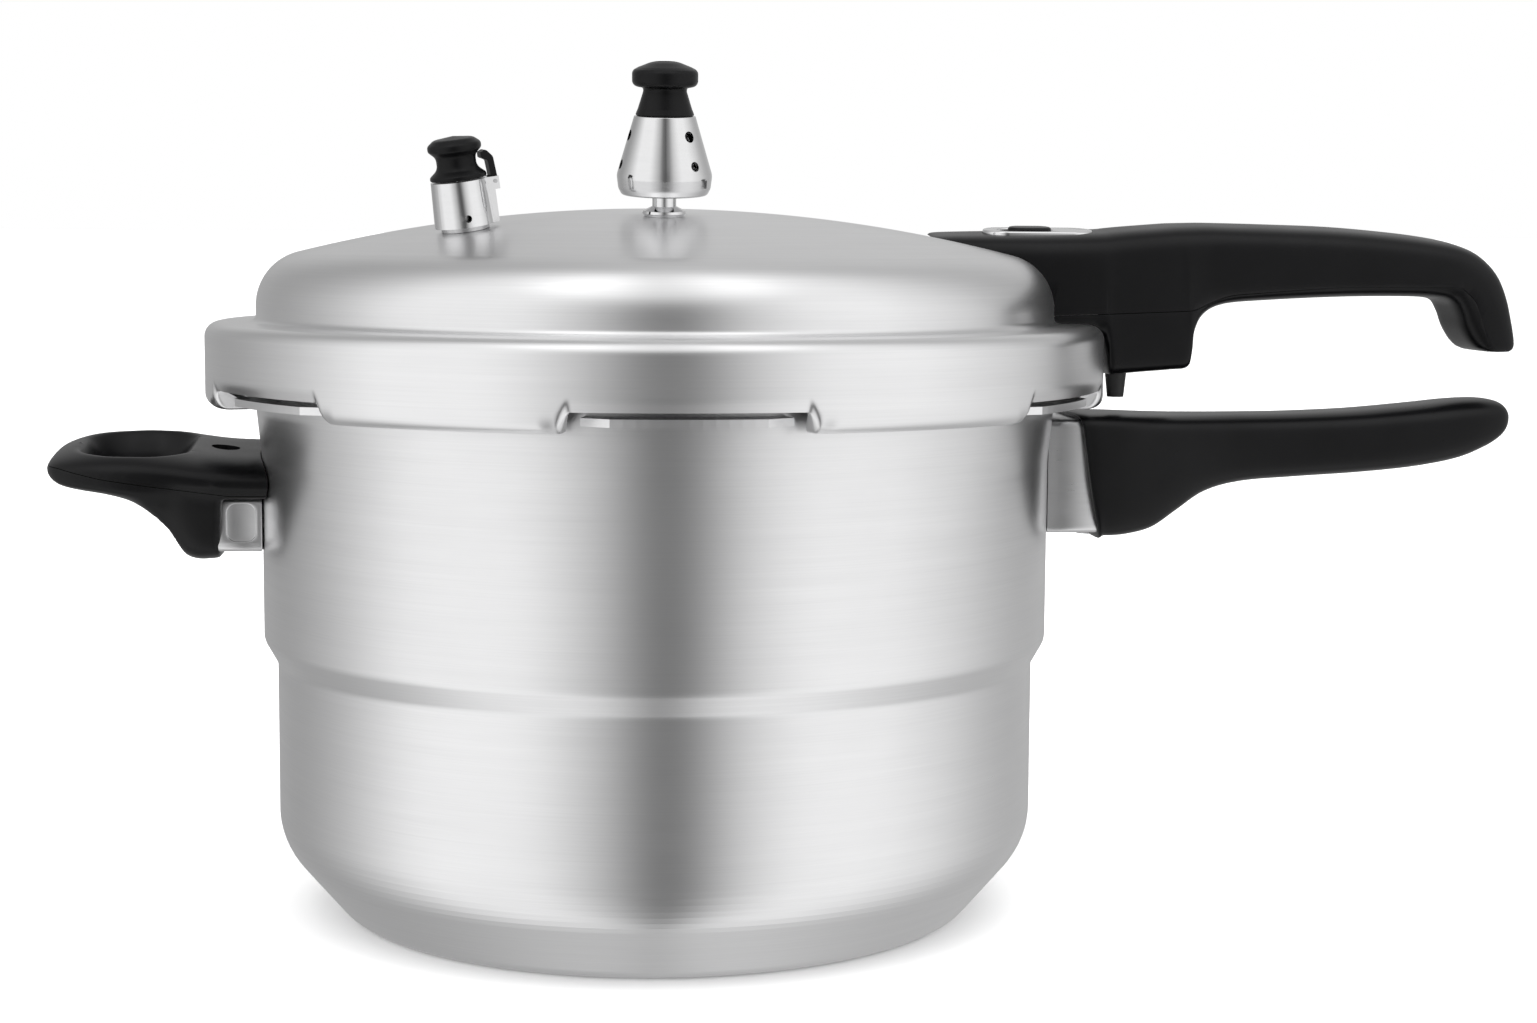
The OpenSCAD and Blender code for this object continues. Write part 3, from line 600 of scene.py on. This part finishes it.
LID_HANDLE = [
    # top x, top z, bottom x, bottom z, half width, roundness above, roundness below
    (88.6, 216.2, 90.5, 205.0, 9.0, 5.0, 6.0),
    (90.0, 216.5, 93.0, 196.0, 12.2, 5.0, 6.0),
    (95.0, 216.8, 100.0, 187.0, 13.8, 4.6, 7.0),
    (110.0, 217.1, 112.0, 185.5, 15.2, 4.4, 8.0),
    (126.0, 217.4, 130.0, 185.5, 15.8, 4.2, 8.0),
    (140.0, 217.8, 141.6, 185.0, 15.8, 4.1, 8.0),
    (144.5, 218.0, 144.2, 180.0, 15.7, 4.0, 8.0),
    (147.0, 218.3, 145.2, 172.4, 15.6, 4.0, 8.0),
    (152.0, 218.8, 149.0, 171.9, 15.5, 4.0, 8.0),
    (158.0, 219.3, 157.0, 172.5, 15.4, 4.0, 8.0),
    (163.0, 219.7, 166.0, 173.2, 15.3, 4.0, 8.0),
    (167.0, 220.0, 171.2, 173.8, 15.2, 4.0, 8.0),
    (169.5, 220.1, 172.4, 176.6, 15.2, 4.0, 7.0),
    (173.0, 220.2, 173.0, 184.0, 15.1, 4.0, 6.0),
    (178.0, 220.3, 176.2, 190.6, 15.0, 4.0, 5.0),
    (185.0, 220.2, 183.5, 194.4, 15.0, 4.0, 5.0),
    (200.0, 219.9, 199.0, 195.8, 15.0, 3.9, 4.6),
    (222.0, 219.2, 222.0, 196.9, 15.0, 3.8, 4.4),
    (242.0, 217.6, 241.0, 197.2, 14.9, 3.7, 4.4),
    (255.0, 216.0, 252.6, 196.9, 14.7, 3.6, 4.4),
    (263.6, 214.2, 259.0, 195.6, 14.5, 3.5, 4.6),
    (270.0, 211.2, 261.8, 191.6, 14.3, 3.4, 5.0),
    (275.4, 205.6, 263.4, 187.0, 14.1, 3.4, 5.0),
    (278.8, 198.0, 265.8, 183.0, 14.0, 3.4, 5.0),
    (280.8, 190.0, 268.2, 180.6, 13.8, 3.4, 5.0),
    (282.0, 183.4, 270.2, 179.7, 13.5, 3.4, 5.0),
    (281.8, 180.6, 271.8, 179.3, 13.0, 3.4, 5.0),
    (280.4, 179.4, 273.6, 179.2, 12.2, 3.4, 5.0),
]
PARTING = [
    (80, 188.9, 0), (172, 192.4, 12), (184, 197.4, 20), (222, 200.4, 100), (261, 200.6, 6),
    (266.4, 196, 8), (273.4, 177, 0),
]
SEAM = 0.22
# the handle's top is tipped towards the camera by this slope, which sets in between two heights
LEAN = 0.10
LEAN_FROM = (197, 213)


def below_parting(shift):
    """Cutter for everything below the line on which the lid handle's two halves meet."""
    line = [(x, z + shift, r) if z > 180 else (x - shift, z, r) for x, z, r in PARTING]
    points = path(line, 10)
    return to_object(prism(points + [Vector((points[-1].x, 150)), Vector((80, 150))], -40, 40))


def rectangle(x0, x1, half_width):
    """Outline from x0 to x1, as wide on both sides of Y = 0."""
    return [Vector(p) for p in ((x0, -half_width), (x1, -half_width), (x1, half_width), (x0, half_width))]


def oval(x, length, width, steps=16):
    """Outline with straight sides along X and round ends, centred on (x, 0)."""
    half = (length - width) / 2
    right = arc((x + half, 0), width / 2, -90, 90, steps)
    left = arc((x - half, 0), width / 2, 90, 270, steps)
    return right + left


BUTTON_X = 120.9
LOCK_TRAVEL = 3.0
BUTTON_SLOT = (18.4, 9.6)
ESCUTCHEON_X = 123.6
# room over the float pin, which rises into the handle
FLOAT_X = 112.5
FLOAT_BORE = (7.2, 6.8)


def lid_handle():
    whole = to_object(loft(LID_HANDLE, 5, 72, crown=15.0), "lid_grip_upper")
    boolean(whole, "DIFFERENCE", dome_solid())
    lower = to_object(bmesh.new(), "lid_grip_lower")
    lower.data = whole.data.copy()
    boolean(whole, "DIFFERENCE", below_parting(SEAM / 2))
    slot = oval(BUTTON_X - LOCK_TRAVEL / 2, *BUTTON_SLOT)
    cavity = rectangle(100.6, 142, 12.4)
    boolean(whole, "DIFFERENCE",
            to_object(prism(oval(ESCUTCHEON_X, 36.3, 15.3), TOP_Z - 1.6, TOP_Z + 10, "Z")),
            to_object(prism(slot, 205, TOP_Z + 10, "Z")),
            to_object(prism(cavity, 180, TOP_Z - 3.2, "Z")),
            to_object(prism(oval(FLOAT_X, *FLOAT_BORE), 205, TOP_Z - 2.0, "Z")))
    boolean(lower, "INTERSECT", below_parting(-SEAM / 2))
    boolean(lower, "DIFFERENCE", to_object(prism(cavity, 180, 212, "Z")))
    bevelled(whole, 0.35, 2, 50)
    bevelled(lower, 0.35, 2, 50)
    leaned(whole, LEAN, *LEAN_FROM)
    finish_piece(whole, "lid", phenolic, "lid_handle_upper", sharp=40)
    finish_piece(lower, "lid", phenolic, "lid_handle_lower", sharp=40)


def escutcheon():
    plate = to_object(prism(oval(ESCUTCHEON_X, 36, 15, 24), TOP_Z - 1.6, TOP_Z + 0.6, "Z"), "escutcheon")
    boolean(plate, "DIFFERENCE", to_object(prism(oval(BUTTON_X - LOCK_TRAVEL / 2, *BUTTON_SLOT, 24), 200, 230, "Z")))
    bevelled(plate, 0.5, 3)
    leaned(plate, LEAN, *LEAN_FROM)
    finish_piece(plate, "lid", polished, "handle_escutcheon", sharp=30)


def button():
    knob = to_object(prism(oval(BUTTON_X, 14.2, 8.4, 24), TOP_Z - 1.2, TOP_Z + 1.5, "Z"), "lock_knob")
    bevelled(knob, 0.9, 4)
    boolean(knob, "UNION", to_object(prism(rectangle(119.2, 125.2, 2.2), TOP_Z - 3.6, TOP_Z - 1.0, "Z")))
    leaned(knob, LEAN, *LEAN_FROM)
    finish_piece(knob, "lock", phenolic, "lock_button", sharp=30)


# ---------------------------------------------------------------- pot handles

POT_HANDLE = [
    # the same columns as in LID_HANDLE
    (134.4, 158.6, 136.6, 151.8, 20.8, 7.0, 9.0),
    (135.0, 159.0, 137.8, 138.0, 21.6, 7.0, 9.0),
    (136.6, 159.1, 141.2, 120.4, 21.7, 6.6, 9.0),
    (141.0, 159.1, 144.0, 119.6, 21.6, 6.0, 8.0),
    (149.0, 159.0, 152.0, 119.8, 21.0, 5.4, 6.0),
    (158.0, 158.8, 160.5, 121.8, 20.0, 4.4, 5.0),
    (168.0, 158.6, 168.5, 127.0, 19.0, 4.2, 4.4),
    (178.0, 158.6, 178.0, 133.2, 17.8, 4.0, 4.0),
    (190.0, 158.7, 190.5, 136.5, 16.7, 3.8, 3.8),
    (208.0, 159.0, 209.0, 137.9, 16.0, 3.6, 3.6),
    (230.0, 160.0, 230.0, 139.2, 15.9, 3.4, 3.5),
    (250.0, 161.8, 249.0, 141.0, 15.8, 3.2, 3.3),
    (263.4, 163.2, 263.4, 143.6, 15.6, 3.0, 3.1),
    (272.8, 163.6, 272.4, 147.0, 14.8, 2.8, 2.9),
    (278.2, 162.8, 277.8, 150.2, 13.2, 2.7, 2.7),
    (280.8, 160.8, 280.6, 153.2, 9.6, 2.5, 2.5),
    (282.0, 158.4, 282.0, 155.8, 4.0, 2.3, 2.3),
]
POT_BRACKET_Z = (121.0, 157.6)
POT_BRACKET_X = 144.0
HELPER_BRACKET_X = 138.2
BRACKET_HALF = 19.0
SHEET = 1.6
BEND_RADIUS = 2.6
POCKET_GAP = 0.06
POT_BRACKET_CREASE = 0.7
POT_SCREW_X = 142.0
COUNTERBORE_R = 4.5
WALL_GAP = 0.5
RECESS_DEPTH = 0.5
HELPER_RECESS = [(-135.4, 119.8, 3), (-126.4, 119.8, 3), (-126.4, 131.8, 3), (-135.4, 131.8, 3)]


def pot_handle():
    grip = to_object(loft(POT_HANDLE, 7, 80, crown=11.0), "pot_grip")
    boolean(grip, "DIFFERENCE", bracket_pocket(1, *POT_BRACKET_Z, POT_BRACKET_X, POT_BRACKET_CREASE),
            to_object(disc_prism(POT_SCREW_X, 0, COUNTERBORE_R, 110, POT_BRACKET_Z[0])))
    bevelled(grip, 0.3, 2, 50)
    finish_piece(grip, "pot", phenolic, "pot_handle", sharp=40)


def disc_prism(x, y, r, z0, z1):
    return prism([p + Vector((x, y)) for p in arc((0, 0), r, 0, 345, 23)], z0, z1, "Z")


def bracket_outline(z0, z1, inset, radius, crease=0.0):
    """Cross-section of a bracket in Y and Z, creased along the middle of each side."""
    side = BRACKET_HALF - inset
    narrow = side - crease
    middle = (z0 + z1) / 2
    return outline([(-side, z0 + inset, radius), (side, z0 + inset, radius), (narrow, middle, 20),
                    (side, z1 - inset, radius), (-side, z1 - inset, radius), (-narrow, middle, 20)], 6)


def bracket_pocket(sign, z0, z1, x_end, crease=0.0):
    """Cutter for the hollow in a handle that a bracket fills."""
    points = bracket_outline(z0, z1, -POCKET_GAP, BEND_RADIUS + POCKET_GAP, crease)
    low, high = sorted((sign * 100, sign * (x_end + POCKET_GAP)))
    return to_object(prism(points, low, high, "X"))


def bracket(name, sign, z0, z1, x_end, node, crease=0.0, recess=None):
    """Folded sheet tube between the wall and a handle, with a crease along, or a recess in, each side."""
    mesh = bmesh.new()

    def ring(inset, radius, at_wall):
        verts = []
        for p in bracket_outline(z0, z1, inset, radius, crease):
            x = math.sqrt((UPPER_R + WALL_GAP) ** 2 - p.x ** 2) if at_wall else x_end
            verts.append(mesh.verts.new((x * sign * MM, p.x * MM, p.y * MM)))
        return verts

    inner_radius = BEND_RADIUS - SHEET
    rings = [ring(0, BEND_RADIUS, False), ring(0, BEND_RADIUS, True),
             ring(SHEET, inner_radius, True), ring(SHEET, inner_radius, False)]
    bridge_rings(mesh, rings + rings[:1])
    piece = to_object(mesh, name)
    bevelled(piece, 0.3, 2, 60)
    if recess:
        for side in (-1, 1):
            cutter = prism(outline(recess, 6), BRACKET_HALF - RECESS_DEPTH, BRACKET_HALF + 4)
            bmesh.ops.scale(cutter, vec=(1, side, 1), verts=cutter.verts)
            boolean(piece, "DIFFERENCE", to_object(cutter))
        bevelled(piece, 0.45, 3, 50)
    finish_piece(piece, "pot", satin, node, sharp=50)


# ---------------------------------------------------------------- helper handle

HELPER = [
    # the same columns, with the taper last
    (-190.8, 144.6, -190.6, 143.0, 14.0, 2.4, 2.4, 0.0),
    (-189.8, 146.4, -189.0, 140.4, 20.0, 2.5, 2.5, 0.0),
    (-187.0, 148.2, -185.2, 137.8, 25.0, 2.5, 2.8, 0.0),
    (-181.6, 149.9, -179.0, 136.2, 28.6, 2.6, 3.0, 0.0),
    (-174.0, 151.2, -171.0, 134.6, 31.0, 2.7, 3.2, 0.0),
    (-165.0, 151.7, -163.6, 131.6, 32.4, 2.8, 3.4, 0.04),
    (-156.0, 150.9, -158.0, 126.4, 33.0, 3.0, 3.4, 0.14),
    (-150.0, 150.0, -154.0, 120.4, 33.0, 3.2, 3.4, 0.26),
    (-146.0, 149.2, -149.8, 115.2, 33.0, 3.4, 3.8, 0.32),
    (-142.0, 148.5, -145.4, 113.2, 33.0, 3.6, 4.2, 0.35),
    (-138.0, 147.9, -140.0, 113.4, 33.0, 3.8, 4.6, 0.36),
    (-132.0, 147.4, -132.0, 113.8, 33.0, 4.0, 5.0, 0.36),
    (-124.0, 147.1, -124.0, 114.0, 33.0, 4.2, 5.0, 0.36),
    (-118.0, 147.1, -118.0, 114.0, 33.0, 4.2, 5.0, 0.36),
]
HELPER_LEAN = 0.08
HELPER_SEAM = [
    (-200, 143.8, 0), (-186, 143.4, 20), (-172, 140.4, 40), (-150, 137.2, 60), (-134, 135.0, 20), (-110, 134.8, 0),
]
HELPER_SCREW_X = -137.0
HELPER_SCREW_SEAT = 144.4
# height, and how much wider the finger opening is there than at its narrowest
OPENING_FLARE = [(110, 3.0), (128, 1.2), (136, 0.2), (140, 0.0), (143, 0.8), (146, 2.6), (149, 5.4), (153, 9.5)]
HELPER_BRACKET_Z = (116.5, 134.2)


def finger_opening():
    """Cutter for the helper handle's opening, which widens like a bowl towards the top."""
    mesh = bmesh.new()
    rings = []
    for z, flare in OPENING_FLARE:
        corners = [(-178.0 - flare * 0.6, -19 - flare, 12 + flare), (-152 + flare, -21 - flare, 9 + flare),
                   (-152 + flare, 21 + flare, 9 + flare), (-178.0 - flare * 0.6, 19 + flare, 12 + flare)]
        points = outline(corners, 8)
        rings.append([mesh.verts.new((p.x * MM, p.y * MM, z * MM)) for p in points])
    bridge_rings(mesh, rings)
    mesh.faces.new(rings[0])
    mesh.faces.new(rings[-1])
    return to_object(mesh)


def helper_handle():
    grip = to_object(loft(HELPER, 6, 72, crown=9.0), "helper_grip")
    under = [Vector(p) for p in ((-139.0, 100), (-110, 100), (-110, 134.3), (-136.2, 134.3))]
    boolean(grip, "DIFFERENCE", to_object(prism(under, -60, 60)), finger_opening())
    softened(grip, 0.7, 22)
    leaned(grip, HELPER_LEAN, 132, 142)
    envelope = to_object(lathe([(0, 90), (UPPER_R + 0.4, 90), (UPPER_R + 0.4, 145.6), (126.9, 160), (0, 160)], 180))
    seam = path(HELPER_SEAM, 10)
    slit = seam + [p + Vector((0, 0.2)) for p in reversed(seam)]
    boolean(grip, "DIFFERENCE", envelope,
            bracket_pocket(-1, *HELPER_BRACKET_Z, HELPER_BRACKET_X),
            to_object(disc_prism(HELPER_SCREW_X, 0, COUNTERBORE_R, HELPER_SCREW_SEAT, 170)),
            to_object(prism(slit, -60, 60)))
    finish_piece(grip, "pot", phenolic, "helper_handle", sharp=45)


# ---------------------------------------------------------------- CAD nodes that stay

def dress_frame():
    """Gives each CAD node that still shows the material of its slot."""
    slots = {part["node"]: part["material_slot"] for part in frame["record"]["subparts"]}
    for name, node in frame["nodes"].items():
        material = MATERIALS[slots[name]]
        if name in ("relief_sleeve", "relief_strap"):
            material = polished_relief
        for slot in node.material_slots:
            slot.material = material


# ---------------------------------------------------------------- stage, light and camera

def stage_floor():
    mesh = bmesh.new()
    half = 60.0
    corners = [mesh.verts.new((x, y, 0)) for x, y in ((-half, -half), (half, -half), (half, half), (-half, half))]
    mesh.faces.new(corners)
    data = bpy.data.meshes.new("floor")
    mesh.to_mesh(data)
    mesh.free()
    floor = bpy.data.objects.new("floor", data)
    bpy.context.scene.collection.objects.link(floor)
    material, nodes = new_material("pale_floor", Roughness=0.9, Specular_IOR_Level=0.1)
    place = nodes.add("ShaderNodeTexCoord").outputs["Object"]
    shade = nodes.noise(place, 3.0)
    nodes.link(nodes.tint(shade, (0.93, 0.93, 0.93), (0.95, 0.95, 0.95)), nodes.shader, "Base Color")
    floor.data.materials.append(material)
    floor.visible_glossy = False


CAMERA_PLACE = (-0.0547, -0.8572, 0.21906)
CAMERA_HEADING = 6.06
CAMERA_PITCH = 6.13
CAMERA_ROLL = 0.384
CAMERA_LENS = 62.45

HORIZON = [
    # azimuth from the camera's side (degrees, + is to the right), brightness
    (-180, 0.52), (-150, 0.38), (-126, 0.34), (-106, 0.50), (-90, 0.70), (-74, 1.00), (-57, 1.10), (-42, 1.08),
    (-29, 0.90), (-19, 0.66), (-11, 0.52), (-4, 0.22), (3, 0.10), (10, 0.10), (17, 0.34), (26, 0.66), (40, 0.94),
    (54, 1.06), (68, 1.04), (83, 0.90), (100, 0.74), (116, 0.54), (136, 0.44), (156, 0.50),
]
PANELS = [
    # azimuth, elevation, half width, brightness added
    (2, 58, 34, 0.75),
    (180, 35, 40, 0.10),
]
# share of a panel's half width within which it is at full brightness
PANEL_CORE = 0.3


def horizon_bands(tree, direction):
    """Brightness by azimuth, from HORIZON."""
    turn = tree.nodes.new("ShaderNodeMapping")
    turn.inputs["Rotation"].default_value = (0, 0, math.radians(90 + CAMERA_HEADING))
    tree.links.new(direction, turn.inputs["Vector"])
    round_about = tree.nodes.new("ShaderNodeTexGradient")
    round_about.gradient_type = "RADIAL"
    tree.links.new(turn.outputs[0], round_about.inputs[0])
    ramp = tree.nodes.new("ShaderNodeValToRGB")
    ramp.color_ramp.interpolation = "B_SPLINE"
    stops = ramp.color_ramp.elements
    while len(stops) > 1:
        stops.remove(stops[-1])
    for k, (azimuth, brightness) in enumerate(HORIZON):
        stop = stops[0] if k == 0 else stops.new(0.5 + azimuth / 360)
        stop.color = (brightness, brightness, brightness, 1)
    tree.links.new(round_about.outputs["Fac"], ramp.inputs[0])
    return ramp.outputs["Color"]


def panel(tree, direction, azimuth, elevation, half_width, brightness):
    """Brightness of a round panel with a soft edge."""
    a = math.radians(-90 + azimuth - CAMERA_HEADING)
    e = math.radians(elevation)
    dot = tree.nodes.new("ShaderNodeVectorMath")
    dot.operation = "DOT_PRODUCT"
    dot.inputs[1].default_value = (math.cos(a) * math.cos(e), math.sin(a) * math.cos(e), math.sin(e))
    tree.links.new(direction, dot.inputs[0])
    edge = tree.nodes.new("ShaderNodeMapRange")
    edge.interpolation_type = "SMOOTHERSTEP"
    edge.inputs["From Min"].default_value = math.cos(math.radians(half_width))
    edge.inputs["From Max"].default_value = math.cos(math.radians(half_width * PANEL_CORE))
    edge.inputs["To Max"].default_value = brightness
    tree.links.new(dot.outputs["Value"], edge.inputs["Value"])
    return edge.outputs["Result"]


def added(tree, first, second):
    add = tree.nodes.new("ShaderNodeMath")
    add.operation = "ADD"
    tree.links.new(first, add.inputs[0])
    tree.links.new(second, add.inputs[1])
    return add.outputs[0]


def studio_world():
    """Upright bands of light and grey all round, and a broad panel overhead; the camera itself sees white."""
    world = bpy.data.worlds.new("studio")
    bpy.context.scene.world = world
    world.use_nodes = True
    tree = world.node_tree
    direction = tree.nodes.new("ShaderNodeTexCoord").outputs["Generated"]
    total = horizon_bands(tree, direction)
    for values in PANELS:
        total = added(tree, total, panel(tree, direction, *values))
    seen = tree.nodes.new("ShaderNodeLightPath")
    mix = tree.nodes.new("ShaderNodeMix")
    mix.data_type = "FLOAT"
    tree.links.new(seen.outputs["Is Camera Ray"], mix.inputs[0])
    tree.links.new(total, mix.inputs[2])
    mix.inputs[3].default_value = 1.0
    background = tree.nodes["Background"]
    tree.links.new(mix.outputs[0], background.inputs["Strength"])
    background.inputs["Color"].default_value = (1, 1, 1, 1)


def area_light(name, place, target, size, power):
    light = bpy.data.lights.new(name, "AREA")
    light.shape = "RECTANGLE"
    light.size, light.size_y = size
    light.energy = power
    lamp = bpy.data.objects.new(name, light)
    lamp.location = place
    lamp.rotation_euler = (Vector(target) - Vector(place)).to_track_quat("-Z", "Y").to_euler()
    lamp.visible_glossy = False
    bpy.context.scene.collection.objects.link(lamp)


def sun(power, spread):
    """An even, almost shadowless light for the floor."""
    light = bpy.data.lights.new("sun", "SUN")
    light.energy = power
    light.angle = math.radians(spread)
    lamp = bpy.data.objects.new("sun", light)
    lamp.visible_glossy = False
    bpy.context.scene.collection.objects.link(lamp)


def camera():
    data = bpy.data.cameras.new("camera")
    data.sensor_width = 36.0
    data.lens = CAMERA_LENS
    cam = bpy.data.objects.new("camera", data)
    turn = (Matrix.Rotation(math.radians(-CAMERA_HEADING), 4, "Z")
            @ Matrix.Rotation(math.radians(90 - CAMERA_PITCH), 4, "X")
            @ Matrix.Rotation(math.radians(CAMERA_ROLL), 4, "Z"))
    cam.matrix_world = Matrix.Translation(CAMERA_PLACE) @ turn
    bpy.context.scene.collection.objects.link(cam)
    bpy.context.scene.camera = cam


lid_shell()
lid_handle()
escutcheon()
button()
pot_handle()
bracket("pot_handle_sleeve", 1, *POT_BRACKET_Z, POT_BRACKET_X, "pot_handle_bracket",
        crease=POT_BRACKET_CREASE)
bracket("helper_sleeve", -1, *HELPER_BRACKET_Z, HELPER_BRACKET_X, "helper_bracket", recess=HELPER_RECESS)
helper_handle()
dress_frame()

stage_floor()
studio_world()
area_light("key", (-1.6, -1.8, 2.2), (0, 0, 0), (2.4, 2.4), 24)
area_light("fill", (1.8, -1.4, 2.2), (0, 0, 0), (2.4, 2.4), 22)
area_light("top", (0.1, 0.6, 2.4), (0, 0, 0), (3.0, 3.0), 30)
sun(2.2, 120)
camera()
bpy.context.scene.view_settings.view_transform = "Standard"
